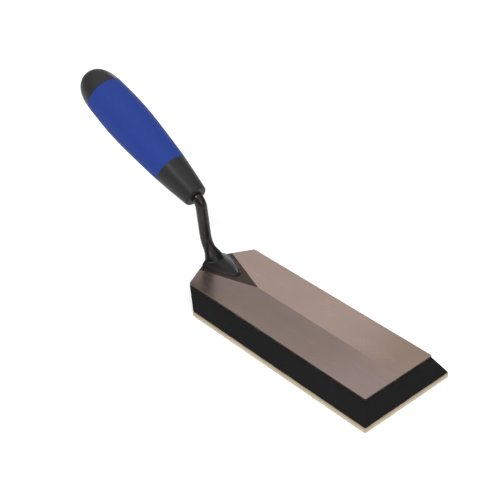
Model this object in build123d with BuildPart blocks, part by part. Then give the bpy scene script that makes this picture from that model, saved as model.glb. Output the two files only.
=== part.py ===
"""Rubber-faced margin float: a small steel margin blade with a foam pad and a gum rubber face.

The working face lies on z = 0 and the origin is its centre. +X points to the toe, the handle
rises towards -X, and the tool is symmetric about the XZ plane. All sizes are in millimetres.
"""
from build123d import *
from math import cos, radians, sin
import os

# ---- blade -------------------------------------------------------------------------------
blade_length = 152.4        # heel point to toe
blade_width = 50.8
blade_edge = 1.1            # thickness along the two long edges
heel_ridge = 0.30           # how much the centre line stands above the edges at the heel
toe_ridge = 0.05            # the same at the toe, where the grind runs out
heel_taper = 13.0           # heel point behind the shoulders
blade_corner = 0.6          # worn radius of the blade's corners, seen from above

# ---- pad stack ---------------------------------------------------------------------------
gum_thickness = 3.2         # cream gum rubber face
foam_thickness = 10.0       # black closed-cell foam
cement_film = 0.25          # contact cement, above and below the foam
pad_flare = 6.7             # foam grows this much at the toe and both sides, top to bottom
heel_set_in = 6.9           # foam heel moves this far forward, top to bottom

# ---- forged tang -------------------------------------------------------------------------
shank_radius = 3.5
foot_half_width = 9.2       # half width of the foot at the blade's heel point
foot_waist_reach = 2.0      # from here, in front of the shoulders, the foot narrows faster
foot_waist_half_width = 6.9
foot_reach = 13.8           # foot tip in front of the shoulders
foot_tip_half_width = 1.5
foot_edge_height = 1.3      # upright edge all round the foot
foot_heel_crown = 3.0       # rise of the foot's rounded back above that edge, at the heel
foot_waist_crown = 1.7      # at the waist
foot_tip_crown = 0.5        # and at the tip
foot_margin = 0.4           # foot stays this far inside the blade's heel edges
root_setback = 7.0          # where the shank leaves the foot, behind the shoulders
root_length = 4.8           # half length of the flared root, along the blade
root_half_width = 6.0       # half width of the flared root, across the blade
root_share = 0.45           # the flare has run out this far up the lower run of the shank
root_blend = 0.4            # what is left of it there
knee_setback = 14.3         # lower bend of the shank, behind the shoulders
knee_height = 10.6          # lower bend above the blade
knee_radius = 16.0
neck_reach = 4.2            # upper bend in front of the handle's nose
neck_radius = 6.8
rod_radius = 2.6            # the part of the tang inside the handle
rod_end_gap = 40.0          # from the rod's end to the end of the butt
rod_groove_depth = 0.4
rod_groove_width = 1.5
rod_groove_count = 3
rod_tip_chamfer = 1.0
weld_leg = 0.8              # weld bead along the foot

# ---- handle ------------------------------------------------------------------------------
nose_setback = 21.45        # centre of the handle's nose, behind the shoulders
nose_height = 38.2          # centre of the handle's nose above the blade
handle_pitch = 23.3         # degrees, rising towards the butt
handle_length = 110.2
nose_radius = 7.25
collar_length = 23.8        # black nose, along the handle
collar_radius = 10.55       # where the black nose meets the blue grip
mid_radius = 12.45          # half way from there to the palm swell
palm_radius = 13.6          # the swell, at its largest
palm_from_end = 42.8        # the swell's place, measured from the end of the butt
butt_length = 18.6          # black butt, along the handle
butt_radius = 12.85         # where the blue grip meets the black butt
butt_fullness = 1.6         # how far the grip's line carries on into the butt before it turns in
skin_wall = 2.7             # moulded cover over the core
nose_wall = 1.5             # cover in front of the core
nose_fillet = 0.9
bore_slip = 0.02            # radial gap round the tang, inside the handle
core_groove_depth = 0.8     # ring grooves that key the cover to the core
core_groove_width = 3.0
core_groove_count = 5

os.makedirs("parts", exist_ok=True)

# ---- levels and places that follow from the sizes ------------------------------------------
face_cement_z = gum_thickness
foam_z = face_cement_z + cement_film
plate_cement_z = foam_z + foam_thickness
blade_z = plate_cement_z + cement_film
blade_top = blade_z + blade_edge
shoulder_to_toe = blade_length - heel_taper
heel_slope = heel_taper / (blade_width / 2)
face_heel = heel_set_in - heel_taper
face_toe = shoulder_to_toe + pad_flare
shoulder_x = -(face_heel + face_toe) / 2


def outline(flare, set_in):
    """Five corners of the blade outline, grown by flare, with its heel moved forward by set_in."""
    side = blade_width / 2 + flare
    heel_x = shoulder_x - heel_taper + set_in
    corner_x = heel_x + heel_slope * side
    toe_x = shoulder_x + shoulder_to_toe + flare
    return [(heel_x, 0), (corner_x, -side), (toe_x, -side), (toe_x, side), (corner_x, side)]


def slab(bottom_z, thickness, corners):
    """A flat sheet of the given outline."""
    with BuildPart() as sheet:
        with BuildSketch(Plane.XY.offset(bottom_z)):
            Polygon(*corners, align=None)
        extrude(amount=thickness)
    return sheet


# ---- gum rubber face -----------------------------------------------------------------------
face_outline = outline(pad_flare, heel_set_in)
gum_face = slab(0, gum_thickness, face_outline)
gum_face.part.label = "gum_face"
export_step(gum_face.part, "parts/gum_face.step")

# ---- cement between the gum rubber and the foam ----------------------------------------------
face_cement = slab(face_cement_z, cement_film, face_outline)
face_cement.part.label = "face_cement"
export_step(face_cement.part, "parts/face_cement.step")

# ---- foam pad, flared at the toe and sides and undercut at the heel --------------------------
with BuildPart() as foam_pad:
    with BuildSketch(Plane.XY.offset(foam_z)):
        Polygon(*face_outline, align=None)
    with BuildSketch(Plane.XY.offset(plate_cement_z)):
        Polygon(*outline(0, 0), align=None)
    loft(ruled=True)
foam_pad.part.label = "foam_pad"
export_step(foam_pad.part, "parts/foam_pad.step")

# ---- cement between the foam and the blade ---------------------------------------------------
plate_cement = slab(plate_cement_z, cement_film, outline(0, 0))
plate_cement.part.label = "plate_cement"
export_step(plate_cement.part, "parts/plate_cement.step")

# ---- blade: ground to a faint centre ridge that runs out at the toe ---------------------------
heel_x = shoulder_x - heel_taper
toe_x = shoulder_x + shoulder_to_toe


def ridge_section(rise):
    """Cross-section of the blade, in the Y and Z directions."""
    half = blade_width / 2
    return [(-half, 0), (half, 0), (half, blade_edge), (0, blade_edge + rise), (-half, blade_edge)]


with BuildPart() as blade:
    for place, rise in ((heel_x, heel_ridge), (toe_x, toe_ridge)):
        with BuildSketch(Plane(origin=(place, 0, blade_z), x_dir=(0, 1, 0), z_dir=(1, 0, 0))):
            Polygon(*ridge_section(rise), align=None)
    loft(ruled=True)
    with BuildSketch(Plane.XY.offset(blade_z)):
        Polygon(*outline(0, 0), align=None)
    extrude(amount=blade_edge + heel_ridge, mode=Mode.INTERSECT)
    upright = blade.edges().filter_by(Axis.Z).filter_by(lambda e: abs(e.center().Y) > 1)
    fillet(upright, blade_corner)
blade.part.label = "blade"
export_step(blade.part, "parts/blade.step")

# ---- handle frame ----------------------------------------------------------------------------
palm_at = handle_length - palm_from_end
mid_at = (collar_length + palm_at) / 2
butt_at = handle_length - butt_length
rod_length = handle_length - rod_end_gap - nose_wall
pitch = radians(handle_pitch)
nose = Vector(shoulder_x - nose_setback, 0, blade_top + nose_height)
along = Vector(-cos(pitch), 0, sin(pitch))
across = Vector(sin(pitch), 0, cos(pitch))
handle_axis = Axis(nose, along)
profile_plane = Plane(origin=nose, x_dir=across, z_dir=(0, -1, 0))


def ring_plane(distance):
    """Plane square to the handle, this far from its nose, facing the butt."""
    return Plane(origin=nose + along * distance, x_dir=across, z_dir=along)


# ---- forged tang: foot on the blade, swan-neck shank and a rod inside the handle ---------------
knee = Vector(shoulder_x - knee_setback, 0, blade_top + knee_height)
neck = nose - along * neck_reach
root = Vector(shoulder_x - root_setback, 0, blade_top + foot_edge_height)
rise_dir = (knee - root).normalized()
rod_start = nose + along * nose_wall
foot_heel_x = shoulder_x - heel_taper
foot_waist_x = shoulder_x + foot_waist_reach
foot_tip_x = shoulder_x + foot_reach


with BuildPart() as foot:
    for place, half_width, crown in ((foot_heel_x, foot_half_width, foot_heel_crown),
                                     (foot_waist_x, foot_waist_half_width, foot_waist_crown),
                                     (foot_tip_x, foot_tip_half_width, foot_tip_crown)):
        with BuildSketch(Plane(origin=(place, 0, blade_top), x_dir=(0, 1, 0), z_dir=(1, 0, 0))):
            with BuildLine():
                base = Polyline((half_width, foot_edge_height), (half_width, 0), (-half_width, 0),
                                (-half_width, foot_edge_height))
                ThreePointArc(base @ 1, (0, foot_edge_height + crown), base @ 0)
            make_face()
    loft(ruled=True)
    with BuildSketch(Plane.XY.offset(blade_top)):
        Polygon(*outline(-foot_margin, foot_margin), align=None)
    extrude(amount=knee_height, mode=Mode.INTERSECT)

with BuildPart() as flare_root:
    with BuildSketch(Plane(origin=root, x_dir=(0, 1, 0), z_dir=rise_dir)):
        Ellipse(root_half_width, root_length)
    with BuildSketch(Plane(origin=root + (knee - root) * root_share, x_dir=(0, 1, 0),
                           z_dir=rise_dir)):
        Ellipse(shank_radius + root_blend, shank_radius + root_blend / 2)
    loft()

with BuildPart() as tang:
    with BuildLine() as spine:
        FilletPolyline(root, knee, neck, rod_start, radius=[knee_radius, neck_radius])
    with BuildSketch(Plane(origin=root, x_dir=(0, 1, 0), z_dir=rise_dir)):
        Circle(shank_radius)
    sweep()
    add(foot.part)
    add(flare_root.part)
    split(bisect_by=Plane.XY.offset(blade_top), keep=Keep.TOP)
    with BuildSketch(ring_plane(nose_wall)):
        Circle(rod_radius)
    extrude(amount=rod_length)
    rod_tip = tang.faces().sort_by(handle_axis)[-1]
    chamfer(rod_tip.edges(), rod_tip_chamfer)
    for turn in range(rod_groove_count):
        groove_at = rod_length - rod_groove_width * (2 * turn + 4)
        with BuildSketch(ring_plane(nose_wall + groove_at)):
            Circle(rod_radius + rod_groove_width)
            Circle(rod_radius - rod_groove_depth, mode=Mode.SUBTRACT)
        extrude(amount=rod_groove_width, mode=Mode.SUBTRACT)
    add(blade.part, mode=Mode.SUBTRACT)
tang.part.label = "tang"
export_step(tang.part, "parts/tang.step")

# ---- weld bead round the foot ------------------------------------------------------------------
with BuildPart() as tang_weld:
    with BuildSketch(Plane.XY.offset(blade_top)):
        Polygon((foot_heel_x, foot_half_width), (foot_heel_x, -foot_half_width),
                (foot_waist_x, -foot_waist_half_width), (foot_tip_x, -foot_tip_half_width),
                (foot_tip_x, foot_tip_half_width), (foot_waist_x, foot_waist_half_width), align=None)
        offset(amount=weld_leg, kind=Kind.INTERSECTION)
    extrude(amount=weld_leg, taper=45)
    with BuildSketch(Plane.XY.offset(blade_top)):
        Polygon(*outline(-foot_margin, foot_margin), align=None)
    extrude(amount=weld_leg, mode=Mode.INTERSECT)
    add(tang.part, mode=Mode.SUBTRACT)
    add(blade.part, mode=Mode.SUBTRACT)
tang_weld.part.label = "tang_weld"
export_step(tang_weld.part, "parts/tang_weld.step")


# ---- handle: hard core with a moulded three-part cover -----------------------------------------
def handle_body(inset, start):
    """Solid of revolution, this far inside the cover's outer surface."""
    with BuildPart() as body:
        with BuildSketch(profile_plane):
            with BuildLine():
                swell = Spline((nose_radius - inset, start), (collar_radius - inset, collar_length),
                               (mid_radius - inset, mid_at), (palm_radius - inset, palm_at),
                               (butt_radius - inset, butt_at))
                Spline(swell @ 1, (0, handle_length - inset), tangents=[swell % 1, (-1, 0)],
                       tangent_scalars=[butt_fullness, 1])
                Polyline((0, handle_length - inset), (0, start), (nose_radius - inset, start))
            make_face()
        revolve(axis=handle_axis)
    return body


with BuildPart() as key_rings:
    for ring in range(core_groove_count):
        ring_at = collar_length + (butt_at - collar_length) * (ring + 0.5) / core_groove_count
        with BuildSketch(ring_plane(ring_at - core_groove_width / 2)):
            Circle(palm_radius)
        extrude(amount=core_groove_width)
    add(handle_body(skin_wall + core_groove_depth, nose_wall).part, mode=Mode.SUBTRACT)

with BuildPart() as handle_core:
    add(handle_body(skin_wall, nose_wall).part)
    add(key_rings.part, mode=Mode.SUBTRACT)
    with BuildSketch(ring_plane(nose_wall)):
        Circle(rod_radius + bore_slip)
    extrude(amount=rod_length + bore_slip, mode=Mode.SUBTRACT)
handle_core.part.label = "handle_core"
export_step(handle_core.part, "parts/handle_core.step")

with BuildPart() as cover:
    add(handle_body(0, 0).part)
    nose_rim = cover.edges().filter_by(GeomType.CIRCLE).sort_by(handle_axis)[0]
    fillet(nose_rim, nose_fillet)
    add(handle_core.part, mode=Mode.SUBTRACT)
    with BuildSketch(ring_plane(0)):
        Circle(rod_radius + bore_slip)
    extrude(amount=nose_wall + rod_length + bore_slip, mode=Mode.SUBTRACT)
    with BuildSketch(ring_plane(0)):
        Circle(shank_radius + bore_slip)
    extrude(amount=nose_wall, mode=Mode.SUBTRACT)


def cover_ring(label, start, end):
    """The stretch of the moulded cover between two distances from the nose."""
    with BuildPart() as ring:
        add(cover.part)
        split(bisect_by=ring_plane(start), keep=Keep.TOP)
        split(bisect_by=ring_plane(end), keep=Keep.BOTTOM)
    ring.part.label = label
    export_step(ring.part, f"parts/{label}.step")
    return ring


nose_sleeve = cover_ring("nose_sleeve", -1, collar_length)
grip_sleeve = cover_ring("grip_sleeve", collar_length, butt_at)
butt_cap = cover_ring("butt_cap", butt_at, handle_length + 1)
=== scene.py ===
import logging
import math
from dataclasses import dataclass
from enum import Enum

import bpy
import numpy as np
from mathutils import Matrix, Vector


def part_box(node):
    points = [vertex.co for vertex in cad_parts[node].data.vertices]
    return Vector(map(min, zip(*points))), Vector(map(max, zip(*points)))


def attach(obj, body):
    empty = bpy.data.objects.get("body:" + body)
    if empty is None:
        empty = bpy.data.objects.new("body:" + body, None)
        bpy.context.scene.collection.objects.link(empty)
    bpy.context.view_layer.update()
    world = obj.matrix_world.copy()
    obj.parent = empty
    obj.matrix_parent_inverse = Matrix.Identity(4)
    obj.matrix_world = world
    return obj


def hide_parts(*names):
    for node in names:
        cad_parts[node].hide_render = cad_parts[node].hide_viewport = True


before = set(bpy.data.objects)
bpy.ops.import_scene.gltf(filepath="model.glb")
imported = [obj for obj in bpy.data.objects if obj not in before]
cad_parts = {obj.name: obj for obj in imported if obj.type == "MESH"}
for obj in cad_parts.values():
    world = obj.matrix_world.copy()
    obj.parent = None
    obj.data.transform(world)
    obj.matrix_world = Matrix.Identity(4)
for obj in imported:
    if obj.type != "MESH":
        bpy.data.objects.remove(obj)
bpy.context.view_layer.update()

# Looks of a rubber-faced margin float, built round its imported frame.
#
# The working face lies on z = 0, +X points to the toe and the handle rises towards -X. Sizes are
# in metres. Each sub-assembly is a class that keeps its sizes and builds and dresses its pieces.

log = logging.getLogger("margin_float")
BODY = "root"
Number = float | int


class Slot(Enum):
    """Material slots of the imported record."""

    GUM = "gum_rubber"
    CEMENT = "cement"
    FOAM = "foam"
    STEEL = "ground_steel"
    LACQUER = "black_lacquer"
    CORE = "core_plastic"
    BLACK_GRIP = "black_grip"
    BLUE_GRIP = "blue_grip"


# ---- shader building ----


class Wire:
    """One shader value, with arithmetic that adds Math nodes."""

    def __init__(self, shader: "Shader", socket: bpy.types.NodeSocket) -> None:
        """Wraps an output socket of a shader's node."""
        self.shader = shader
        self.socket = socket

    def _math(self, operation: str, first: "Wire | Number", second: "Wire | Number" = 0.0) -> "Wire":
        """A Math node's result for two values."""
        return self.shader.wire("ShaderNodeMath", {"operation": operation}, {0: first, 1: second})

    def __add__(self, other: "Wire | Number") -> "Wire":
        """Sum."""
        return self._math("ADD", self, other)

    def __mul__(self, other: "Wire | Number") -> "Wire":
        """Product."""
        return self._math("MULTIPLY", self, other)

    def __sub__(self, other: "Wire | Number") -> "Wire":
        """Difference."""
        return self._math("SUBTRACT", self, other)

    def __rsub__(self, other: "Wire | Number") -> "Wire":
        """Difference, the other way round."""
        return self._math("SUBTRACT", other, self)

    def absolute(self) -> "Wire":
        """Size without sign."""
        return self._math("ABSOLUTE", self)

    def step(self, low: Number, high: Number) -> "Wire":
        """Smooth step: 0 below low, 1 above high."""
        ends = {"Value": self, "From Min": low, "From Max": high, "To Min": 0.0, "To Max": 1.0}
        return self.shader.wire("ShaderNodeMapRange", {"interpolation_type": "SMOOTHSTEP"}, ends)


Value = Wire | Number
Colour = tuple[float, float, float, float]


def rgb(red: float, green: float, blue: float) -> Colour:
    """A linear colour with full alpha."""
    return (red, green, blue, 1.0)


class Shader:
    """A material under construction: a Principled surface and the nodes that feed it."""

    def __init__(self, name: str, **fixed: Number | Colour) -> None:
        """Starts a material.

        Args:
            name: the material's name.
            fixed: constant sockets of the Principled node, with underscores for spaces.
        """
        self.material = bpy.data.materials.new(name)
        self.material.use_nodes = True
        self.tree = self.material.node_tree
        self.tree.nodes.clear()
        self.surface = self.tree.nodes.new("ShaderNodeBsdfPrincipled")
        output = self.tree.nodes.new("ShaderNodeOutputMaterial")
        self.tree.links.new(self.surface.outputs["BSDF"], output.inputs["Surface"])
        for socket, value in fixed.items():
            self.surface.inputs[socket.replace("_", " ")].default_value = value

    def plug(self, socket: bpy.types.NodeSocket, value: "Wire | Number | tuple") -> None:
        """Links a wire to a socket, or sets the socket's constant."""
        if isinstance(value, Wire):
            self.tree.links.new(value.socket, socket)
        else:
            socket.default_value = value

    def node(self, kind: str, settings: dict, sockets: dict) -> bpy.types.Node:
        """Adds any node.

        Args:
            kind: the node's type name.
            settings: its properties.
            sockets: values or wires, by socket name or number.
        Returns:
            The node.
        """
        made = self.tree.nodes.new(kind)
        for name, setting in settings.items():
            setattr(made, name, setting)
        for key, value in sockets.items():
            self.plug(made.inputs[key], value)
        return made

    def wire(self, kind: str, settings: dict, sockets: dict, output: int | str = 0) -> Wire:
        """Adds any node and returns one of its outputs as a wire."""
        return Wire(self, self.node(kind, settings, sockets).outputs[output])

    def place(self) -> Wire:
        """Object coordinates, in metres."""
        return self.wire("ShaderNodeTexCoord", {}, {}, "Object")

    def axes(self) -> tuple[Wire, Wire, Wire]:
        """X, Y and Z of the object coordinates."""
        split = self.node("ShaderNodeSeparateXYZ", {}, {0: self.place()})
        return tuple(Wire(self, split.outputs[i]) for i in range(3))

    def noise(self, scale: float, detail: float = 4.0, at: Wire | None = None,
              roughness: float = 0.55) -> Wire:
        """Fractal noise from 0 to 1, with this many features in a metre."""
        sockets = {"Vector": at or self.place(), "Scale": scale, "Detail": detail,
                   "Roughness": roughness}
        return self.wire("ShaderNodeTexNoise", {"noise_dimensions": "3D"}, sockets)

    def streaks(self, scale: tuple[float, float, float], detail: float = 2.0,
                roughness: float = 0.55) -> Wire:
        """Fractal noise from 0 to 1, with this many features in a metre along each axis."""
        sockets = {"Vector": self.place(), "Scale": scale}
        at = self.wire("ShaderNodeMapping", {"vector_type": "POINT"}, sockets)
        return self.noise(1.0, detail, at, roughness)

    def cells(self, scale: float) -> Wire:
        """Distance in a field of round cells, with this many cells in a metre."""
        sockets = {"Vector": self.place(), "Scale": scale}
        return self.wire("ShaderNodeTexVoronoi", {"feature": "F1"}, sockets, "Distance")

    def varied(self, value: Value, *noises: tuple[Wire, Number]) -> Wire:
        """A value moved by (noise - 0.5) * amount for each pair of a noise and its amount."""
        for noise, amount in noises:
            value = (noise - 0.5) * amount + value
        return value

    def mix(self, factor: Value, first: "Wire | Colour", second: "Wire | Colour",
            blend: str = "MIX") -> Wire:
        """Blends two colours by a factor."""
        settings = {"data_type": "RGBA", "blend_type": blend}
        return self.wire("ShaderNodeMix", settings, {0: factor, 6: first, 7: second}, 2)

    def bump(self, height: Wire, distance: float, strength: float = 1.0,
             under: Wire | None = None) -> Wire:
        """A bumped normal. Height 1 stands this distance above height 0, in metres."""
        sockets = {"Strength": strength, "Distance": distance, "Height": height}
        if under is not None:
            sockets["Normal"] = under
        return self.wire("ShaderNodeBump", {}, sockets)

    def feed(self, **sockets: "Wire | Number | Colour") -> bpy.types.Material:
        """Feeds sockets of the Principled node, with underscores for spaces, and ends the build."""
        for name, value in sockets.items():
            self.plug(self.surface.inputs[name.replace("_", " ")], value)
        return self.material


# ---- finishes ----


@dataclass(frozen=True)
class GroundSteel:
    """Satin carbon steel, ground in two facets that meet on the centre line, with a black heel.

    The two facets carry painted light and shade: the near facet is painted darker and the far facet
    lighter, as the light falls on them, and over the last stretch to the toe the painted shading
    changes to a closer pair of tones. The edge faces below the top are painted dark, as painted shade.
    """

    shoulder_x: float
    top: float
    # The near and far tones are painted light and shade on the two facets; the toe pair takes over
    # near the toe.
    near_facet_shaded_tone: Colour = rgb(0.346, 0.259, 0.232)
    far_facet_lit_tone: Colour = rgb(0.565, 0.421, 0.362)
    near_toe_shading_tone: Colour = rgb(0.402, 0.307, 0.281)
    far_toe_shading_tone: Colour = rgb(0.437, 0.325, 0.262)
    # The edge tone is painted shade on the edge faces below the top.
    edge_shade_tone: Colour = rgb(0.050, 0.040, 0.035)
    lacquer_tone: Colour = rgb(0.0285, 0.0125, 0.0055)
    crease: float = 0.0003
    toe_shading_blend: float = 0.016
    fade_from: float = 0.088
    fade_to: float = 0.132
    roughness: float = 0.26
    edge_shade_depth: float = 0.00012
    edge_band_roughness: float = 0.25
    grind_depth: float = 0.000003
    lacquer_reach: float = 0.0315
    lacquer_slope: float = 0.342
    lacquer_ragged: float = 0.0007
    lacquer_edge: tuple[float, float] = (-0.00015, 0.00025)
    lacquer_roughness: float = 0.10
    lacquer_peel: float = 0.00002

    def material(self) -> bpy.types.Material:
        """Builds the steel with its grinding marks, two facets in painted light and shade, an edge in
        painted shade and lacquered V.
        """
        s = Shader("ground_steel", Specular_IOR_Level=0.36)
        x, y, z = s.axes()
        along = x - self.shoulder_x
        lines = s.streaks((45.0, 5200.0, 45.0), 3.0, 0.7)
        strokes = s.streaks((16.0, 800.0, 16.0), 2.0, 0.6)
        bands = s.streaks((9.0, 150.0, 9.0))
        clouds = s.noise(48.0, 3.0)
        # Painted light and shade: the near facet gets the darker tone, the far facet the lighter one,
        # changing over to the toe pair near the toe.
        facets = s.mix(y.step(-self.crease, self.crease), self.near_facet_shaded_tone, self.far_facet_lit_tone)
        toe = s.mix(y.step(-self.toe_shading_blend, self.toe_shading_blend), self.near_toe_shading_tone, self.far_toe_shading_tone)
        tone = s.mix(along.step(self.fade_from, self.fade_to), facets, toe)
        shade = s.varied(1.0, (lines, 0.10), (strokes, 0.05), (clouds, 0.12), (bands, 0.08))
        grey = s.wire("ShaderNodeCombineColor", {}, {0: shade, 1: shade, 2: shade})
        steel = s.mix(1.0, tone, grey, "MULTIPLY")
        # Painted shade: the edge faces below the top are mixed to the dark edge tone.
        scale = (self.top - z).step(self.edge_shade_depth * 0.3, self.edge_shade_depth)
        steel = s.mix(scale, steel, self.edge_shade_tone)
        inside = (self.lacquer_reach - along) * self.lacquer_slope - y.absolute()
        lacquer = s.varied(inside, (s.noise(420.0, 3.0), self.lacquer_ragged)).step(*self.lacquer_edge)
        bare = 1.0 - lacquer
        rough = s.varied(self.roughness, (strokes, 0.05), (clouds, 0.06))
        rough = rough + scale * self.edge_band_roughness + lacquer * self.lacquer_roughness
        normal = s.bump((lines * 0.6 + strokes * 0.4) * bare, self.grind_depth)
        normal = s.bump(s.noise(900.0, 2.0) * lacquer, self.lacquer_peel, 1.0, normal)
        return s.feed(Base_Color=s.mix(lacquer, steel, self.lacquer_tone), Metallic=bare,
                      Normal=normal, Roughness=rough)


@dataclass(frozen=True)
class BlackLacquer:
    """Dipped black lacquer over a forging, with orange peel and slight brown where it is thin.

    Close above the blade it is painted darker, as painted shade, and rougher.
    """

    top: float
    thick_tone: Colour = rgb(0.0125, 0.0086, 0.0078)
    thin_tone: Colour = rgb(0.0260, 0.0175, 0.0155)
    # Painted shade close above the blade.
    low_shade_tone: Colour = rgb(0.0016, 0.0016, 0.0015)
    roughness: float = 0.11
    low_band_roughness: float = 0.28
    cloud_roughness: float = 0.12
    full_shade_height: float = 0.0065
    undarkened_height: float = 0.0145
    lump_depth: float = 0.00010
    peel_depth: float = 0.000010

    def material(self) -> bpy.types.Material:
        """Builds the lacquer with its forged lumps, peel and thin patches."""
        s = Shader("black_lacquer", Specular_IOR_Level=0.30)
        clouds = s.noise(160.0, 3.0)
        # Painted shade: up to the full shade height the lacquer takes a near-black tone, fading out by
        # the undarkened height.
        unshaded = (s.axes()[2] - self.top).step(self.full_shade_height, self.undarkened_height)
        base = s.mix(clouds.step(0.45, 0.72), self.thick_tone, self.thin_tone)
        normal = s.bump(s.noise(260.0, 2.0), self.lump_depth)
        normal = s.bump(s.noise(1500.0, 2.0), self.peel_depth, 1.0, normal)
        rough = clouds * self.cloud_roughness + self.low_band_roughness
        rough = rough + unshaded * (self.roughness - self.low_band_roughness)
        return s.feed(Base_Color=s.mix(unshaded, self.low_shade_tone, base), Roughness=rough, Normal=normal)


@dataclass(frozen=True)
class ClosedCellFoam:
    """Sawn closed-cell foam: matt black with fine open cells, their pits painted darker as painted
    shade, and faint saw waves.
    """

    skin_tone: Colour = rgb(0.0125, 0.0127, 0.0130)
    pit_shade_tone: Colour = rgb(0.0062, 0.0063, 0.0065)
    cells_per_metre: float = 2300.0
    roughness: float = 0.90
    saw_depth: float = 0.00010
    cell_depth: float = 0.00012

    def material(self) -> bpy.types.Material:
        """Builds the foam with its cut cells and painted shade in their pits."""
        s = Shader("closed_cell_foam", Specular_IOR_Level=0.12)
        cells = s.cells(self.cells_per_metre)
        clouds = s.noise(120.0, 4.0)
        # Painted shade: the cell pits take the darker tone.
        pit_shade = 1.0 - cells.step(0.10, 0.42)
        base = s.mix(pit_shade * 0.8 + clouds * 0.2, self.skin_tone, self.pit_shade_tone)
        normal = s.bump(s.streaks((150.0, 150.0, 1400.0)), self.saw_depth)
        normal = s.bump(cells, self.cell_depth, 0.8, normal)
        return s.feed(Base_Color=base, Roughness=s.varied(self.roughness, (clouds, 0.12)),
                      Normal=normal)


@dataclass(frozen=True)
class GumRubber:
    """Cream gum rubber sheet, mottled and specked, darker towards the foam, with a slight grain."""

    lower_tone: Colour = rgb(0.600, 0.520, 0.390)
    upper_tone: Colour = rgb(0.330, 0.262, 0.165)
    speck_tone: Colour = rgb(0.200, 0.140, 0.075)
    undarkened_height: float = 0.0006
    upper_height: float = 0.0034
    roughness: float = 0.66
    grain_depth: float = 0.00003
    mottle_depth: float = 0.00020

    def material(self) -> bpy.types.Material:
        """Builds the gum rubber."""
        s = Shader("gum_rubber", Specular_IOR_Level=0.35)
        clouds = s.noise(70.0, 4.0)
        specks = 1.0 - s.cells(620.0).step(0.05, 0.16)
        # Darker towards the foam: the tone blends from the lower tone to the upper one going up the
        # sheet.
        towards_foam = s.axes()[2].step(self.undarkened_height, self.upper_height)
        tone = s.mix(clouds.step(0.35, 0.75) * 0.3 + towards_foam * 0.7, self.lower_tone, self.upper_tone)
        base = s.mix(specks * 0.45, tone, self.speck_tone)
        normal = s.bump(s.noise(2600.0, 3.0), self.grain_depth)
        normal = s.bump(clouds, self.mottle_depth, 0.6, normal)
        return s.feed(Base_Color=base, Roughness=s.varied(self.roughness, (clouds, 0.2)),
                      Normal=normal)


@dataclass(frozen=True)
class ContactCement:
    """Dried contact cement, amber and uneven."""

    thin_tone: Colour = rgb(0.230, 0.140, 0.055)
    thick_tone: Colour = rgb(0.090, 0.055, 0.025)
    roughness: float = 0.42
    blob_roughness: float = 0.25
    blob_depth: float = 0.0001

    def material(self) -> bpy.types.Material:
        """Builds the cement with its blobs."""
        s = Shader("contact_cement", Specular_IOR_Level=0.4)
        blobs = s.noise(380.0, 4.0)
        base = s.mix(blobs.step(0.35, 0.65), self.thin_tone, self.thick_tone)
        return s.feed(Base_Color=base, Roughness=blobs * self.blob_roughness + self.roughness,
                      Normal=s.bump(blobs, self.blob_depth))


@dataclass(frozen=True)
class SoftTouch:
    """Moulded soft-touch plastic with a fine eroded skin and faint rub marks."""

    name: str
    tone: Colour
    rubbed_tone: Colour
    roughness: float
    gloss: float
    skin_depth: float = 0.00004

    def material(self) -> bpy.types.Material:
        """Builds the moulded skin."""
        s = Shader(self.name, Specular_IOR_Level=self.gloss)
        clouds = s.noise(95.0, 4.0)
        rubs = s.streaks((90.0, 420.0, 420.0), 3.0)
        worn = rubs.step(0.52, 0.80) * 0.5 + clouds.step(0.40, 0.80) * 0.5
        base = s.mix(worn * 0.6, self.tone, self.rubbed_tone)
        normal = s.bump(s.noise(3400.0, 2.0), self.skin_depth, 0.7)
        rough = s.varied(self.roughness, (clouds, 0.10)) - worn * 0.05
        return s.feed(Base_Color=base, Roughness=rough, Normal=normal)


BLACK_SOFT_TOUCH = SoftTouch("black_soft_touch", rgb(0.0275, 0.0262, 0.0272),
                             rgb(0.033, 0.0315, 0.033), roughness=0.38, gloss=0.15)
BLUE_SOFT_TOUCH = SoftTouch("blue_soft_touch", rgb(0.0195, 0.0480, 0.260),
                            rgb(0.025, 0.058, 0.285), roughness=0.70, gloss=0.15)


@dataclass(frozen=True)
class PlainCore:
    """Hard moulded core plastic."""

    tone: Colour = rgb(0.030, 0.030, 0.032)
    flow_tone: Colour = rgb(0.045, 0.045, 0.047)
    roughness: float = 0.45
    flow_roughness: float = 0.15
    flow_depth: float = 0.00005

    def material(self) -> bpy.types.Material:
        """Builds the core plastic with flow marks."""
        s = Shader("core_plastic", Specular_IOR_Level=0.45)
        flow = s.streaks((60.0, 300.0, 300.0), 3.0)
        base = s.mix(flow, self.tone, self.flow_tone)
        return s.feed(Base_Color=base, Roughness=flow * self.flow_roughness + self.roughness,
                      Normal=s.bump(flow, self.flow_depth))


@dataclass(frozen=True)
class StudioPaper:
    """Seamless white paper on a light table."""

    tone: Colour = rgb(0.90, 0.90, 0.90)
    tooth_tone: Colour = rgb(0.92, 0.92, 0.92)
    glow: float = 0.32

    def material(self) -> bpy.types.Material:
        """Builds the paper with a barely visible tooth, lit a little from below."""
        s = Shader("studio_paper", Specular_IOR_Level=0.1, Emission_Color=rgb(1.0, 1.0, 1.0),
                   Emission_Strength=self.glow)
        base = s.mix(s.noise(400.0, 3.0), self.tone, self.tooth_tone)
        return s.feed(Base_Color=base, Roughness=0.9)


# ---- surfaces ----

SIDE = np.array([0.0, 1.0, 0.0])
UP = np.array([0.0, 0.0, 1.0])


def unit(vectors: np.ndarray) -> np.ndarray:
    """Vectors along the last axis, scaled to length 1."""
    return vectors / np.linalg.norm(vectors, axis=-1, keepdims=True)


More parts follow.
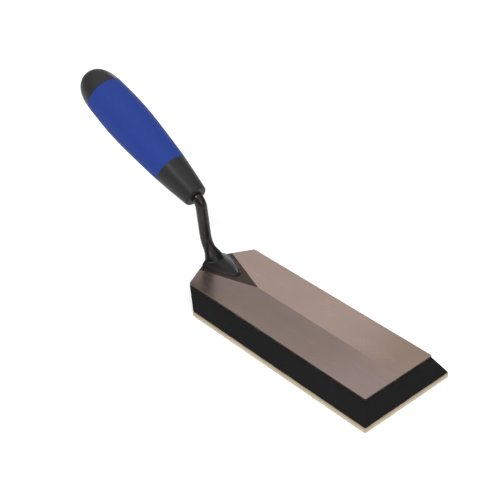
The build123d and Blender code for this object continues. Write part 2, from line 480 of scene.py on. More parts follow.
def quarter_round(radius: float | np.ndarray, spans: int) -> tuple[np.ndarray, np.ndarray]:
    """How far the points of a rounded edge lie in from its two faces.

    Returns:
        radius * (1 - sin(a)) and radius * (1 - cos(a)), with a going from 0 to a quarter turn.
    """
    a = np.linspace(0, np.pi / 2, spans + 1)
    return radius * (1 - np.sin(a)), radius * (1 - np.cos(a))


def ellipses(centres: np.ndarray, first: np.ndarray, second: np.ndarray, points: int) -> np.ndarray:
    """Rings centre + cos(t) * first + sin(t) * second, with t once round.

    Returns:
        Array (centres, points, 3).
    """
    t = np.linspace(0, 2 * np.pi, points, endpoint=False)[None, :, None]
    return centres[:, None] + np.cos(t) * first[:, None] + np.sin(t) * second[:, None]


def added(name: str, data: bpy.types.ID) -> bpy.types.Object:
    """A new object in the scene, with its mesh, light or camera."""
    made = bpy.data.objects.new(name, data)
    bpy.context.scene.collection.objects.link(made)
    return made


@dataclass
class Shape:
    """A closed mesh as arrays: vertices (n, 3) and faces as lists of vertex numbers."""

    vertices: np.ndarray
    faces: list[list[int]]

    @staticmethod
    def from_rings(rings: np.ndarray, closed: bool = False) -> "Shape":
        """Joins rings of points into a closed skin.

        Ring i, point j is rings[i, j]; each ring is closed, and neighbours are joined by quads.
        Args:
            rings: array (rings, points, 3).
            closed: True joins the last ring to the first; False caps both ends with a fan.
        Returns:
            The skin, with its faces outwards.
        """
        count, points = rings.shape[:2]
        spans = count if closed else count - 1
        i, j = np.meshgrid(np.arange(spans), np.arange(points), indexing="ij")
        after_i, after_j = (i + 1) % count, (j + 1) % points
        quads = np.stack([i * points + j, i * points + after_j, after_i * points + after_j,
                          after_i * points + j], axis=-1).reshape(-1, 4)
        vertices = rings.reshape(-1, 3)
        faces = quads.tolist()
        if not closed:
            k = np.arange(points)
            k_next, tail = (k + 1) % points, (count - 1) * points
            start_fan = np.stack([np.full(points, len(vertices)), k_next, k], axis=-1)
            end_fan = np.stack([np.full(points, len(vertices) + 1), tail + k, tail + k_next], axis=-1)
            vertices = np.vstack([vertices, rings[0].mean(0), rings[-1].mean(0)])
            faces += start_fan.tolist() + end_fan.tolist()
        return Shape(vertices, faces).outward()

    def outward(self) -> "Shape":
        """The same shape with its faces outwards, which is where its signed volume is positive.

        The volume adds up a . (b x c) / 6 over the triangles a, b, c of each face's fan.
        """
        total = 0.0
        for sides in sorted({len(face) for face in self.faces}):
            p = self.vertices[np.array([face for face in self.faces if len(face) == sides])]
            for second in range(1, sides - 1):
                total += np.einsum("ij,ij", p[:, 0], np.cross(p[:, second], p[:, second + 1])) / 6
        if total < 0:
            self.faces = [face[::-1] for face in self.faces]
        return self

    def joined(self, other: "Shape") -> "Shape":
        """Both shapes in one mesh."""
        offset = len(self.vertices)
        moved = [[index + offset for index in face] for face in other.faces]
        return Shape(np.vstack([self.vertices, other.vertices]), self.faces + moved)

    def piece(self, name: str, crease: float = math.radians(32)) -> bpy.types.Object:
        """Makes the Blender object, with edges sharper than the crease angle left sharp."""
        mesh = bpy.data.meshes.new(name)
        mesh.from_pydata(self.vertices.tolist(), [], self.faces)
        mesh.polygons.foreach_set("use_smooth", np.ones(len(mesh.polygons), bool))
        mesh.set_sharp_from_angle(angle=crease)
        mesh.update()
        return added(name, mesh)


def dress(piece: bpy.types.Object, material: bpy.types.Material, slot: Slot,
          *stands_for: str) -> None:
    """Finishes a piece: gives it a material, logs the slot it fills, and lets it ride in place of CAD
    nodes.
    """
    piece.data.materials.clear()
    piece.data.materials.append(material)
    if stands_for:
        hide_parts(*stands_for)
    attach(piece, BODY)
    log.info("%s: %d faces, %s", piece.name, len(piece.data.polygons), slot.value)


def rounded_outline(corners: np.ndarray, radius: float, arc_steps: int,
                    edge_steps: int) -> np.ndarray:
    """A closed outline whose corners are arcs.

    At a corner with half angle h the arc is tangent to both edges radius / tan(h) from the corner,
    and its centre is radius / sin(h) along the bisector. Edges between arcs are split evenly.
    Args:
        corners: array (corners, 2), in order.
        radius: radius of every arc.
        arc_steps: spans in each arc.
        edge_steps: spans in each straight edge.
    Returns:
        Array (points, 2).
    """
    back = unit(np.roll(corners, 1, axis=0) - corners)
    ahead = unit(np.roll(corners, -1, axis=0) - corners)
    half = 0.5 * np.arccos(np.clip((back * ahead).sum(1), -1, 1))[:, None]
    start, end = corners + back * radius / np.tan(half), corners + ahead * radius / np.tan(half)
    centre = corners + unit(back + ahead) * radius / np.sin(half)
    from_angle = np.arctan2(*(start - centre).T[::-1])
    to_angle = np.arctan2(*(end - centre).T[::-1])
    sweep = (to_angle - from_angle + np.pi) % (2 * np.pi) - np.pi
    t = np.linspace(0, 1, arc_steps + 1)[None, :]
    angle = from_angle[:, None] + sweep[:, None] * t
    arcs = centre[:, None, :] + radius * np.stack([np.cos(angle), np.sin(angle)], axis=-1)
    u = np.linspace(0, 1, edge_steps + 1)[1:-1][None, :, None]
    edges = end[:, None, :] * (1 - u) + np.roll(start, -1, axis=0)[:, None, :] * u
    return np.concatenate([arcs, edges], axis=1).reshape(-1, 2)


def natural_spline(knots: np.ndarray, values: np.ndarray, at: np.ndarray) -> np.ndarray:
    """Cubic through the knots whose bend is nought at both ends.

    The second derivatives m solve h[i-1] m[i-1] + 2 (h[i-1] + h[i]) m[i] + h[i] m[i+1] =
    6 (slope[i] - slope[i-1]), and each span is the cubic that has them at its ends.
    """
    h = np.diff(knots)
    slope = np.diff(values) / h
    size = len(knots)
    system = np.eye(size)
    inner = np.arange(1, size - 1)
    system[inner, inner - 1] = h[:-1]
    system[inner, inner] = 2 * (h[:-1] + h[1:])
    system[inner, inner + 1] = h[1:]
    right = np.zeros(size)
    right[inner] = 6 * np.diff(slope)
    m = np.linalg.solve(system, right)
    span = np.clip(np.searchsorted(knots, at) - 1, 0, size - 2)
    left, rest = at - knots[span], knots[span + 1] - at
    cubic = (m[span] * rest**3 + m[span + 1] * left**3) / (6 * h[span])
    ends = (values[span] / h[span] - m[span] * h[span] / 6) * rest
    return cubic + ends + (values[span + 1] / h[span] - m[span + 1] * h[span] / 6) * left


# ---- blade and pad ----


@dataclass
class FloatPlan:
    """Plan of the blade and the pad under it, read from the frame.

    Attributes:
        heel_x, shoulder_x, toe_x: the blade's heel point, its two shoulders and its toe.
        low, blade_top, ridge_top: heights of its underside, its long edges and its ridge.
        half_width: half its width.
        flare: how far the pad grows at its foot, at the toe and both sides.
        set_in: how far the pad's heel moves forward at its foot.
    """

    heel_taper: float = 0.013
    blade_edge: float = 0.0011

    def __post_init__(self) -> None:
        """Reads the boxes of the blade and of the rubber face."""
        (self.heel_x, _, self.low), (self.toe_x, self.half_width, self.ridge_top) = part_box("blade")
        face_low, face_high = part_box("gum_face")
        self.shoulder_x = self.heel_x + self.heel_taper
        self.blade_top = self.low + self.blade_edge
        self.flare, self.set_in = face_high[1] - self.half_width, face_low[0] - self.heel_x

    def above(self, forward: float, height: float) -> np.ndarray:
        """A point over the centre line, from the shoulders' line on the blade's top."""
        return np.array([self.shoulder_x + forward, 0, self.blade_top + height])

    def corners(self, flare: float, set_in: float) -> np.ndarray:
        """Five corners of the outline, grown by flare, its heel moved forward by set_in."""
        slope = self.heel_taper / self.half_width
        side = self.half_width + flare
        heel = self.heel_x + set_in
        shoulder = heel + slope * side
        toe = self.toe_x + flare
        return np.array([(heel, 0), (shoulder, -side), (toe, -side), (toe, side), (shoulder, side)])


@dataclass
class PadStack:
    """Foam pad, gum rubber face and the two cement films between them and the blade."""

    plan: FloatPlan
    foam_corner: float = 0.0007
    foam_edge: float = 0.0004
    gum_corner: float = 0.0005
    gum_edge: float = 0.0003
    cement_inset: float = 0.0002
    wave: float = 0.00007
    waves: tuple[tuple[float, ...], ...] = ((1.0, 410, 230, 900, 0.0), (0.6, 970, -640, 0, 2.0),
                                            (0.4, 320, 1450, 2100, 0.0))
    arc_steps: int = 6
    edge_steps: int = 90
    foam_levels: int = 14
    gum_levels: int = 5

    def block(self, low: float, high: float, share_low: float, share_high: float, corner: float,
              edge: float, levels: int) -> Shape:
        """A sheet or pad between two levels, with rounded edges and a slightly wavy cut.

        The outline's share of the flare goes in a straight line from the bottom to the top. At
        edge (1 - sin(a)) from either face it draws in by edge (1 - cos(a)).
        Args:
            low: bottom.
            high: top.
            share_low: part of the full flare at the bottom.
            share_high: part of the full flare at the top.
            corner: radius of the upright corners.
            edge: radius of the top and bottom edges.
            levels: rings between the rounded edges.
        Returns:
            The closed block.
        """
        inwards_z, inwards = quarter_round(edge, 4)
        foot_z = low + inwards_z
        middle = np.linspace(low + edge, high - edge, levels + 2)[1:-1]
        heights = np.concatenate([[low], foot_z[::-1], middle, (low + high) - foot_z, [high]])
        draws = np.concatenate([[3 * edge], inwards[::-1], np.zeros(levels), inwards, [3 * edge]])
        share = share_low + (share_high - share_low) * (heights - low) / (high - low)
        flares, set_ins = share * self.plan.flare - draws, share * self.plan.set_in + draws
        rings = np.stack([self.ring(*level, corner, self.wave)
                          for level in zip(heights, flares, set_ins)])
        return Shape.from_rings(rings)

    def ring(self, z: float, flare: float, set_in: float, corner: float, wave: float) -> np.ndarray:
        """One level of a block, pushed out and in by slow sines along the cut.

        Each wave adds size * sin(x * kx + y * ky + z * kz + phase).
        """
        outline = rounded_outline(self.plan.corners(flare, set_in), corner, self.arc_steps,
                                  self.edge_steps)
        x, y = outline.T
        push = sum(size * np.sin(x * kx + y * ky + z * kz + phase)
                   for size, kx, ky, kz, phase in self.waves)
        moved = outline + unit(outline - outline.mean(0)) * (push * wave / 2)[:, None]
        return np.column_stack([moved, np.full(len(moved), z)])

    @staticmethod
    def levels(node: str) -> tuple[float, float]:
        """Heights of a layer's bottom and top."""
        return tuple(float(corner[2]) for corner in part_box(node))

    def build(self) -> None:
        """Builds and dresses the four layers."""
        (foam_low, foam_high), (gum_low, gum_high) = self.levels("foam_pad"), self.levels("gum_face")
        foam = self.block(foam_low, foam_high, 1, 0, self.foam_corner, self.foam_edge,
                          self.foam_levels).piece("foam_block")
        dress(foam, ClosedCellFoam().material(), Slot.FOAM, "foam_pad")
        gum = self.block(gum_low, gum_high, 1, 1, self.gum_corner, self.gum_edge,
                         self.gum_levels).piece("gum_sheet")
        dress(gum, GumRubber().material(), Slot.GUM, "gum_face")
        cement = ContactCement().material()
        for node, share in (("face_cement", 1.0), ("plate_cement", 0.0)):
            flare = share * self.plan.flare - self.cement_inset
            set_in = share * self.plan.set_in + self.cement_inset
            rings = np.stack([self.ring(z, flare, set_in, self.gum_corner, self.wave * 2)
                              for z in self.levels(node)])
            dress(Shape.from_rings(rings).piece(node + "_film"), cement, Slot.CEMENT, node)


@dataclass
class FloatBlade:
    """The ground steel blade."""

    plan: FloatPlan
    toe_ridge: float = 0.00005
    edge_round: float = 0.00008
    corner_round: float = 0.0006
    shoulder_blend: float = 0.00036
    crease_half: float = 0.0003
    knee_half: float = 0.001
    least_half: float = 0.0002
    least_inner: float = 0.00005
    least_span: float = 0.000001

    def half_widths(self, x: np.ndarray) -> np.ndarray:
        """Half width at each x: rising from the heel point, then constant, and round at the toe.

        The shoulder is the smooth least of the heel line and the full half width.
        """
        full, end_x = self.plan.half_width, self.plan.toe_x - self.corner_round
        gap = full - (x - self.plan.heel_x) * full / self.plan.heel_taper
        shoulder = full - 0.5 * (gap + np.sqrt(gap**2 + self.shoulder_blend**2))
        into = np.clip(x - end_x, 0, self.corner_round)
        rounding = self.corner_round - np.sqrt(np.maximum(self.corner_round**2 - into**2, 0))
        return np.maximum(shoulder - rounding, self.least_half)

    def build(self) -> None:
        """Builds and dresses the blade.

        Each section across the blade is a closed loop: up the far edge, over the top with the
        centre line raised by the ridge, down the near edge and back underneath. The section is
        carried from heel to toe, its half width follows the plan and its top and bottom draw in
        on a quarter circle over the last stretch, so that the toe is rounded too.
        """
        plan = self.plan
        low_x, high_x, ridge_rise = plan.heel_x, plan.toe_x, plan.ridge_top - plan.blade_top
        r, shoulder, knee = self.edge_round, plan.shoulder_x, self.knee_half
        x = np.unique(np.concatenate([
            np.linspace(low_x, shoulder - knee, 40),
            np.linspace(shoulder - knee, shoulder + knee, 14),
            np.linspace(shoulder + knee, high_x - self.corner_round, 90),
            high_x - quarter_round(self.corner_round, 7)[0], high_x - quarter_round(r, 5)[0]]))
        x = x[np.concatenate([[True], np.diff(x) > self.least_span])]
        width = self.half_widths(x)
        into = np.clip(x - (high_x - r), 0, r)
        draw = r - np.sqrt(np.maximum(r**2 - into**2, 0))
        rise = self.toe_ridge + (ridge_rise - self.toe_ridge) * (high_x - x) / (high_x - low_x)
        w = width[:, None]
        bottom, top = (plan.low + draw)[:, None], (plan.blade_top - draw)[:, None]
        small = np.minimum(r, w * 0.45)
        by_sine, by_cosine = quarter_round(small, 4)
        edge_low_y, edge_low_z = w - by_sine, bottom + by_cosine
        edge_top_y, edge_top_z = w - by_cosine, top - by_sine
        inner = [w - 3 * small, w * 0.66, w * 0.33, np.minimum(self.crease_half, w * 0.1)]
        inner = np.maximum(np.concatenate(inner, axis=1), self.least_inner)
        inner_z = top + rise[:, None] * (1 - inner / w)
        half_y = np.concatenate([edge_low_y, edge_top_y, inner], axis=1)
        half_z = np.concatenate([edge_low_z, edge_top_z, inner_z], axis=1)
        ridge_y, ridge_z = np.zeros_like(w), top + rise[:, None]
        floor_y = np.concatenate([w * 0.5, np.zeros_like(w), -w * 0.5], axis=1)
        floor_z = np.repeat(bottom, 3, axis=1)
        y = np.concatenate([half_y, ridge_y, -half_y[:, ::-1], floor_y[:, ::-1]], axis=1)
        z = np.concatenate([half_z, ridge_z, half_z[:, ::-1], floor_z], axis=1)
        rings = np.stack([np.repeat(x[:, None], y.shape[1], axis=1), y, z], axis=-1)
        steel = GroundSteel(plan.shoulder_x, plan.blade_top).material()
        dress(Shape.from_rings(rings).piece("blade_plate"), steel, Slot.STEEL, "blade")


# ---- tang ----


@dataclass
class HandleLine:
    """Where the handle lies.

    Attributes:
        nose: centre of the handle's nose.
        along: unit direction from the nose to the butt.
        across: unit direction square to that, upwards.
    """

    plan: FloatPlan
    nose_setback: float = 0.02145
    nose_height: float = 0.0382
    pitch: float = math.radians(23.3)

    def __post_init__(self) -> None:
        """Works out the nose and the two directions."""
        c, s = math.cos(self.pitch), math.sin(self.pitch)
        self.along, self.across = np.array([-c, 0, s]), np.array([s, 0, c])
        self.nose = self.plan.above(-self.nose_setback, self.nose_height)

    def around(self, profile: np.ndarray, segments: int) -> np.ndarray:
        """Carries a profile of (radius, distance) rows round the handle.

        A point is nose + distance * along + radius * (cos(t) * across + sin(t) * sideways).
        Returns:
            Array (profile points, segments, 3).
        """
        radius, distance = profile[:, :1], profile[:, 1:]
        return ellipses(self.nose + distance * self.along, radius * self.across, radius * SIDE,
                        segments)


@dataclass
class ForgedTang:
    """The forging that joins the blade to the handle: foot, swan neck and rod, with its weld."""

    line: HandleLine
    shank_radius: float = 0.0035
    rod_radius: float = 0.0026
    rod_start: float = 0.0015
    rod_length: float = 0.0687
    rod_chamfer: float = 0.001
    knee_setback: float = 0.0143
    knee_height: float = 0.0106
    knee_radius: float = 0.016
    neck_reach: float = 0.0042
    neck_radius: float = 0.0068
    root_setback: float = 0.0070
    root_half_width: float = 0.0060
    root_half_length: float = 0.0048
    root_fade: float = 0.0085
    root_sink: float = 0.003
    foot_half_width: float = 0.0092
    foot_waist_half: float = 0.0069
    foot_waist_reach: float = 0.0020
    foot_tip_half: float = 0.0015
    foot_reach: float = 0.0138
    foot_edge: float = 0.0013
    foot_edge_tip_share: float = 0.55
    foot_sink: float = 0.0003
    heel_gap: float = 0.0004
    heel_least: float = 0.0012
    heel_crown: float = 0.0032
    tip_crown: float = 0.0008
    crown_power: float = 1.6
    tip_bluntness: float = 0.04
    voxel: float = 0.00032
    soften_factor: float = 0.5
    soften_turns: int = 14
    spine_step: float = 0.00025
    shank_points: int = 48
    rod_points: int = 32
    weld_radius: float = 0.0008
    weld_pitch: float = 0.0013
    weld_ripple: float = 0.10
    weld_step: float = 0.0002
    weld_fade: float = 0.001
    weld_end_share: float = 0.15
    weld_points: int = 20
    weld_crease: float = math.radians(80)

    def spine(self) -> tuple[np.ndarray, np.ndarray]:
        """The shank's centre line: straight runs joined by tangent arcs, from the foot to the rod.

        Returns:
            Points (n, 3) and their unit directions (n, 3).
        """
        plan, line = self.line.plan, self.line
        root = plan.above(-self.root_setback, self.foot_edge)
        knee = plan.above(-self.knee_setback, self.knee_height)
        neck = line.nose - line.along * self.neck_reach
        end = line.nose + line.along * self.rod_start
        below = root + unit(root - knee) * self.root_sink
        path = self.evenly(np.concatenate([
            below[None], self.corner_arc(root, knee, neck, self.knee_radius),
            self.corner_arc(knee, neck, end, self.neck_radius), end[None]]), self.spine_step)
        return path, unit(np.gradient(path, axis=0))

    @staticmethod
    def evenly(path: np.ndarray, spacing: float) -> np.ndarray:
        """The same path with points at an even spacing."""
        lengths = np.concatenate([[0], np.cumsum(np.linalg.norm(np.diff(path, axis=0), axis=1))])
        at = np.linspace(0, lengths[-1], int(lengths[-1] / spacing) + 1)
        return np.column_stack([np.interp(at, lengths, path[:, k]) for k in range(3)])

    @staticmethod
    def corner_arc(before: np.ndarray, corner: np.ndarray, after: np.ndarray,
                   radius: float) -> np.ndarray:
        """Points on the arc of a radius that is tangent to both runs at a corner."""
        back, ahead = unit(before - corner), unit(after - corner)
        half = 0.5 * math.acos(float(np.clip(back @ ahead, -1, 1)))
        reach = radius / math.tan(half)
        centre = corner + unit(back + ahead) * radius / math.sin(half)
        start, end = corner + back * reach - centre, corner + ahead * reach - centre
        sweep = math.acos(float(np.clip(start @ end / radius**2, -1, 1)))
        t = np.linspace(0, 1, 25)[:, None]
        return centre + (np.sin((1 - t) * sweep) * start + np.sin(t * sweep) * end) / math.sin(sweep)

    def shank(self) -> Shape:
        """The swan neck: ellipses carried square to the spine.

        Across the blade the half width is shank + (root - shank) * f, with f falling smoothly from 1
        at the foot to 0 once the flare has run out.
        """
        spine, ways = self.spine()
        run = np.arange(len(spine)) * self.spine_step
        start = run[np.argmin(np.abs(spine[:, 2] - self.line.plan.blade_top - self.foot_edge))]
        fade = np.clip((run - start) / self.root_fade, 0, 1)
        f = (1 - fade) ** 2 * (1 + 2 * fade)
        wide = self.shank_radius + (self.root_half_width - self.shank_radius) * f
        deep = self.shank_radius + (self.root_half_length - self.shank_radius) * f
        up = np.cross(ways, SIDE)
        return Shape.from_rings(ellipses(spine, wide[:, None] * SIDE, deep[:, None] * up,
                                         self.shank_points))

    def rod(self) -> Shape:
        """The straight rod inside the handle, chamfered at its end."""
        r, end, chamfer = self.rod_radius, self.rod_start + self.rod_length, self.rod_chamfer
        profile = np.array([(r, self.rod_start - chamfer), (r, end - chamfer), (r - chamfer, end)])
        return Shape.from_rings(self.line.around(profile, self.rod_points))

    def foot_half(self, x: np.ndarray) -> np.ndarray:
        """Half width of the foot: a natural spline from the heel point, by the waist, to the tip."""
        plan = self.line.plan
        places = np.array([plan.heel_x, plan.shoulder_x + self.foot_waist_reach,
                           plan.shoulder_x + self.foot_reach])
        halves = np.array([self.foot_half_width, self.foot_waist_half, self.foot_tip_half])
        return natural_spline(places, halves, x)

    def foot(self) -> Shape:
        """The wedge on the blade.

        At a share t from the tip to the heel the crown grows as t^power, the upright sides grow
        in a straight line to the edge height, the half width follows its spline with a rounded
        tip, and the back is a half cosine.
        """
        plan, top = self.line.plan, self.line.plan.blade_top
        tip_x = plan.shoulder_x + self.foot_reach
        heel_x = plan.heel_x + self.heel_gap
        t = np.linspace(0, 1, 60) ** 1.3
        x = tip_x + (heel_x - tip_x) * t
        taper = plan.half_width / plan.heel_taper
        nearness = np.clip((tip_x - x) / self.foot_tip_half, 0, 1)
        half = self.foot_half(x) * np.sqrt(np.maximum(nearness * (2 - nearness),
                                                        self.tip_bluntness))
        half = np.minimum(half, np.maximum((x - plan.heel_x) * taper, self.heel_least))
        crown = self.tip_crown + (self.heel_crown - self.tip_crown) * t**self.crown_power
        side = np.linspace(-1, 1, 31)
        y = half[:, None] * side[None, :]
        arch = np.cos(side * np.pi / 2)[None, :]
        edge = self.foot_edge * (self.foot_edge_tip_share + (1 - self.foot_edge_tip_share) * t)
        z = top + edge[:, None] + crown[:, None] * arch
        floor_y = y[:, ::-5]
        floor_z = np.full_like(floor_y, top - self.foot_sink)
        ring_y, ring_z = np.concatenate([y, floor_y], axis=1), np.concatenate([z, floor_z], axis=1)
        ring_x = np.repeat(x[:, None], ring_y.shape[1], axis=1)
        return Shape.from_rings(np.stack([ring_x, ring_y, ring_z], axis=-1))

    def build(self) -> None:
        """Fuses foot, neck and rod into one smooth forging, then lays the weld bead round it."""
        rough = self.foot().joined(self.shank()).joined(self.rod()).piece("tang_forging")
        remesh = rough.modifiers.new("fuse", "REMESH")
        remesh.mode = "VOXEL"
        remesh.voxel_size = self.voxel
        remesh.use_smooth_shade = True
        soften = rough.modifiers.new("blend", "SMOOTH")
        soften.factor = self.soften_factor
        soften.iterations = self.soften_turns
        graph = bpy.context.evaluated_depsgraph_get()
        fused = bpy.data.meshes.new_from_object(rough.evaluated_get(graph))
        flat = np.empty(len(fused.vertices) * 3)
        fused.vertices.foreach_get("co", flat)
        flat[2::3] = np.maximum(flat[2::3], self.line.plan.blade_top)
        fused.vertices.foreach_set("co", flat)
        rough.modifiers.clear()
        rough.data = fused
        fused.polygons.foreach_set("use_smooth", np.ones(len(fused.polygons), bool))
        fused.update()
        lacquer = BlackLacquer(self.line.plan.blade_top).material()
        dress(rough, lacquer, Slot.LACQUER, "tang")
        bead = self.weld().piece("weld_bead", self.weld_crease)
        dress(bead, lacquer, Slot.LACQUER, "tang_weld")

    def weld(self) -> Shape:
        """The weld bead: half a tube round the foot, flat on the blade, rippled along its length.

        Its radius is weld * (1 + ripple |sin(pi s / pitch)|), with s the length along the foot's
        edge, and it runs out at both ends.
        """
        plan = self.line.plan
        heel_x = plan.heel_x + self.foot_half_width * plan.heel_taper / plan.half_width
        round_x = plan.shoulder_x + self.foot_reach - self.foot_tip_half
        x = np.linspace(heel_x, round_x, 40)
        half = self.foot_half(x)
        turn = np.linspace(-np.pi / 2, np.pi / 2, 17)[1:-1]
        nose = np.column_stack([round_x + self.foot_tip_half * np.cos(turn), half[-1] * np.sin(turn)])
        flat = np.concatenate([np.column_stack([x, -half]), nose,
                               np.column_stack([x, half])[::-1]])
        path = np.column_stack([flat, np.full(len(flat), plan.blade_top)])
        path = self.evenly(path, self.weld_step)
        run = np.arange(len(path)) * self.weld_step
        out = np.cross(unit(np.gradient(path, axis=0)), UP)
        ends = np.clip(np.minimum(run, run[-1] - run) / self.weld_fade, 0, 1) ** 0.5
        ripple = 1 + self.weld_ripple * np.abs(np.sin(np.pi * run / self.weld_pitch))
        radius = (self.weld_radius * ripple * np.maximum(ends, self.weld_end_share))[:, None]
        rings = ellipses(path, radius * out, radius * UP, self.weld_points)
        rings[..., 2] = np.maximum(rings[..., 2], plan.blade_top)
        return Shape.from_rings(rings)


# ---- handle ----


@dataclass
class GripHandle:
    """Hard core with a moulded cover: black nose, blue grip and black butt."""

    line: HandleLine
    length: float = 0.1102
    collar_length: float = 0.0238
    butt_length: float = 0.0186
    palm_from_end: float = 0.0428
    nose_radius: float = 0.00725
    collar_radius: float = 0.01055
    mid_radius: float = 0.01245
    palm_radius: float = 0.0136
    butt_radius: float = 0.01285
    butt_fullness: float = 1.6
    wall: float = 0.0027
    core_lap: float = 0.0001
    nose_wall: float = 0.0015
    nose_round: float = 0.0011
    seam_round: float = 0.00016
    shank_hole: float = 0.00355
    hole_chamfer: float = 0.0002
    pole_radius: float = 0.0001
    slope_step: float = 0.00001
    segments: int = 160

    @property
    def butt_at(self) -> float:
        """Distance of the ring between grip and butt from the nose."""
        return self.length - self.butt_length

    def body_radius(self, distance: np.ndarray) -> np.ndarray:
        """Cover radius in front of the butt: the natural spline through the five named radii."""
        palm_at = self.length - self.palm_from_end
        mid_at = (self.collar_length + palm_at) / 2
        knots = np.array([0, self.collar_length, mid_at, palm_at, self.butt_at])
        radii = np.array([self.nose_radius, self.collar_radius, self.mid_radius, self.palm_radius,
                          self.butt_radius])
        return natural_spline(knots, radii, distance)

    def dome(self, inset: float, steps: int) -> np.ndarray:
        """Rows of radius and distance along the butt's dome, from its ring to its pole.

        It is the Hermite cubic of h00 start + h10 fullness chord slope + h01 end + h11 chord inwards,
        so it is tangent to the grip at one end and square to the handle at the other.
        """
        near = self.body_radius(np.array([self.butt_at - self.slope_step, self.butt_at]))
        slope = unit(np.array([(near[1] - near[0]) / self.slope_step, 1.0]))
        start = np.array([self.butt_radius - inset, self.butt_at])
        end = np.array([0.0, self.length - inset])
        chord = np.linalg.norm(end - start)
        t = np.linspace(0, 1, steps)[:, None]
        return ((2 * t**3 - 3 * t**2 + 1) * start
                + (t**3 - 2 * t**2 + t) * self.butt_fullness * chord * slope
                + (3 * t**2 - 2 * t**3) * end + (t**3 - t**2) * chord * np.array([-1.0, 0.0]))

    def radius_at(self, distance: np.ndarray) -> np.ndarray:
        """Cover radius at distances from the nose."""
        dome = self.dome(0.0, 400)
        return np.where(distance > self.butt_at, np.interp(distance, dome[:, 1], dome[:, 0]),
                        self.body_radius(np.minimum(distance, self.butt_at)))

    def skin(self, distance: np.ndarray, depth: float | np.ndarray = 0.0) -> np.ndarray:
        """Profile rows of radius and distance, at a depth under the cover's skin."""
        return np.column_stack([self.radius_at(distance) - depth, distance])

    def inside(self, start: float, end: float, count: int) -> np.ndarray:
        """Profile rows along the cover's inside, which laps a little into the core."""
        return self.skin(np.linspace(start, end, count), self.wall - self.core_lap)

    def lip(self, at: float, way: float) -> np.ndarray:
        """Profile rows of a sleeve's rounded end at a distance, from its face out to the skin.

        way is 1 where the sleeve goes on towards the butt and -1 where it goes on to the nose.
        """
        inwards, along = quarter_round(self.seam_round, 4)
        return self.skin(np.full(5, at), inwards) + np.column_stack([0 * along, way * along])

    def turned(self, *rows: np.ndarray, closed: bool = True) -> Shape:
        """The shape that profile rows make when carried round the handle."""
        return Shape.from_rings(self.line.around(np.concatenate(rows), self.segments), closed)

    def sleeve(self, start: float, end: float) -> Shape:
        """One ring of the cover, rounded where it meets the next: out on the skin, back inside."""
        middle = self.skin(np.linspace(start + self.seam_round, end - self.seam_round, 90))
        return self.turned(self.lip(start, 1)[:-1], middle, self.lip(end, -1)[-2::-1],
                           self.inside(end, start, 20))

    def nose(self) -> Shape:
        """The black nose: a sleeve whose front is turned in to a hole round the shank."""
        r, end, chamfer = self.nose_round, self.collar_length, self.hole_chamfer
        hole, flat = self.shank_hole, self.shank_hole + chamfer
        front = np.array([(hole, self.nose_wall), (hole, chamfer), (flat, 0.0)])
        face = np.column_stack([np.linspace(flat, self.nose_radius - r, 6)[1:-1], np.zeros(4)])
        inwards, along = quarter_round(r, 8)
        middle = self.skin(np.linspace(r, end - self.seam_round, 50)[1:])
        return self.turned(front, face, self.skin(along, inwards), middle,
                           self.lip(end, -1)[-2::-1], self.inside(end, self.nose_wall, 12))

    def butt(self) -> Shape:
        """The black butt: a domed cup over the core's end."""
        outer, inner = self.dome(0.0, 90), self.dome(self.wall, 30)[::-1]
        outer = outer[outer[:, 1] > self.butt_at + self.seam_round]
        first = self.lip(self.butt_at, 1)[:-1]
        return self.turned(*(rows[rows[:, 0] > self.pole_radius] for rows in (inner, first, outer)),
                           closed=False)

    def build(self) -> None:
        """Builds and dresses the cover and dresses the core."""
        black = BLACK_SOFT_TOUCH.material()
        dress(self.nose().piece("nose_cover"), black, Slot.BLACK_GRIP, "nose_sleeve")
        dress(self.sleeve(self.collar_length, self.butt_at).piece("grip_cover"),
              BLUE_SOFT_TOUCH.material(), Slot.BLUE_GRIP, "grip_sleeve")
        dress(self.butt().piece("butt_cover"), black, Slot.BLACK_GRIP, "butt_cap")
        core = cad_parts["handle_core"]
        core.data.materials.clear()
        core.data.materials.append(PlainCore().material())
        log.info("handle_core: kept from the frame")


# ---- studio ----


@dataclass(frozen=True)
class Panel:
    """A square soft light: its direction in degrees, its distance and side in metres, its watts."""

    name: str
    azimuth: float
    elevation: float
    distance: float
    side: float
    power: float


PANELS = (
    Panel("top_light", 0, 85, 1.4, 2.2, 13.0),
    Panel("back_light", 229, 40, 1.5, 1.3, 1.4),
    Panel("rim_light", 219, 5, 1.5, 0.5, 2.4),
    Panel("front_light", -3, 57, 1.2, 0.26, 3.6),
    Panel("toe_light", 80, 40, 1.3, 0.7, 3.5),
)


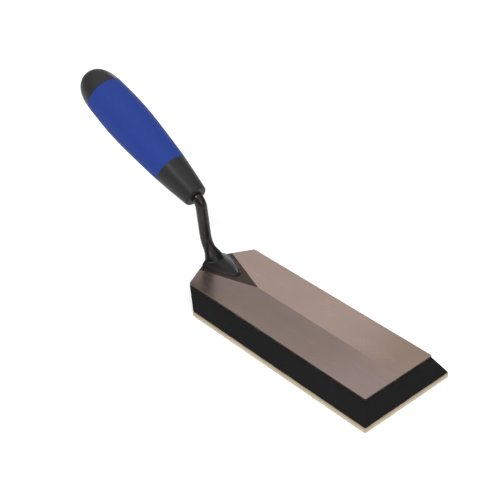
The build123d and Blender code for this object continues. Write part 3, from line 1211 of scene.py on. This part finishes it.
@dataclass
class Studio:
    """White paper floor, soft lights and the camera."""

    plan: FloatPlan
    azimuth: float = 49.03
    elevation: float = 33.79
    roll: float = -1.64
    lens: float = 83.84
    sensor: float = 36.0
    eye_from_shoulder: tuple[float, float, float] = (0.43806, -0.35874, 0.38939)
    clip: tuple[float, float] = (0.01, 20.0)
    floor_half: float = 3.0
    face_press: float = 0.00003
    world_light: float = 0.30

    def floor(self) -> None:
        """A wide sheet of paper under the float, which presses into it by a hair."""
        h, z = self.floor_half, self.face_press
        mesh = bpy.data.meshes.new("studio_floor")
        mesh.from_pydata([(-h, -h, z), (h, -h, z), (h, h, z), (-h, h, z)], [], [(0, 1, 2, 3)])
        mesh.materials.append(StudioPaper().material())
        added("studio_floor", mesh)

    @staticmethod
    def direction(azimuth: float, elevation: float) -> np.ndarray:
        """Unit vector towards a direction in degrees, with azimuth 0 on -Y and 90 on +X."""
        a, e = math.radians(azimuth), math.radians(elevation)
        return np.array([math.sin(a) * math.cos(e), -math.cos(a) * math.cos(e), math.sin(e)])

    def light(self, panel: Panel) -> None:
        """Hangs a soft light that looks at the float. The camera doesn't see it."""
        data = bpy.data.lights.new(panel.name, "AREA")
        data.shape, data.size, data.energy = "SQUARE", panel.side, panel.power
        lamp = added(panel.name, data)
        back = self.direction(panel.azimuth, panel.elevation)
        lamp.matrix_world = self.facing(back, back * panel.distance, 0.0)
        lamp.visible_camera = False

    @staticmethod
    def facing(back: np.ndarray, place: np.ndarray, roll: float) -> Matrix:
        """Matrix of a camera or lamp that looks against back from a place, rolled by degrees."""
        right = unit(np.cross(-back, UP))
        up = np.cross(right, -back)
        c, s = math.cos(math.radians(roll)), math.sin(math.radians(roll))
        matrix = np.eye(4)
        matrix[:3, 0], matrix[:3, 1] = c * right + s * up, c * up - s * right
        matrix[:3, 2], matrix[:3, 3] = back, place
        return Matrix(matrix.tolist())

    def camera(self) -> None:
        """The camera, at the float's three-quarter view."""
        data = bpy.data.cameras.new("view")
        data.lens, data.sensor_width = self.lens, self.sensor
        data.clip_start, data.clip_end = self.clip
        camera = added("view", data)
        eye = self.plan.above(0.0, 0.0) + np.array(self.eye_from_shoulder)
        back = self.direction(self.azimuth, self.elevation)
        camera.matrix_world = self.facing(back, eye, self.roll)
        bpy.context.scene.camera = camera

    def world(self) -> None:
        """Even pale surroundings."""
        world = bpy.data.worlds.new("surroundings")
        world.use_nodes = True
        background = world.node_tree.nodes["Background"]
        background.inputs["Color"].default_value = (1.0, 1.0, 1.0, 1.0)
        background.inputs["Strength"].default_value = self.world_light
        bpy.context.scene.world = world

    def build(self) -> None:
        """Sets up the floor, surroundings, lights and camera."""
        self.floor()
        self.world()
        self.camera()
        for panel in PANELS:
            self.light(panel)
        bpy.context.scene.view_settings.view_transform = "Standard"


def main() -> None:
    """Builds the studio and every sub-assembly, in order."""
    logging.basicConfig(level=logging.INFO, format="%(name)s %(message)s")
    plan = FloatPlan()
    Studio(plan).build()
    line = HandleLine(plan)
    PadStack(plan).build()
    FloatBlade(plan).build()
    ForgedTang(line).build()
    GripHandle(line).build()
    bpy.context.view_layer.update()


if __name__ == "__main__":
    main()
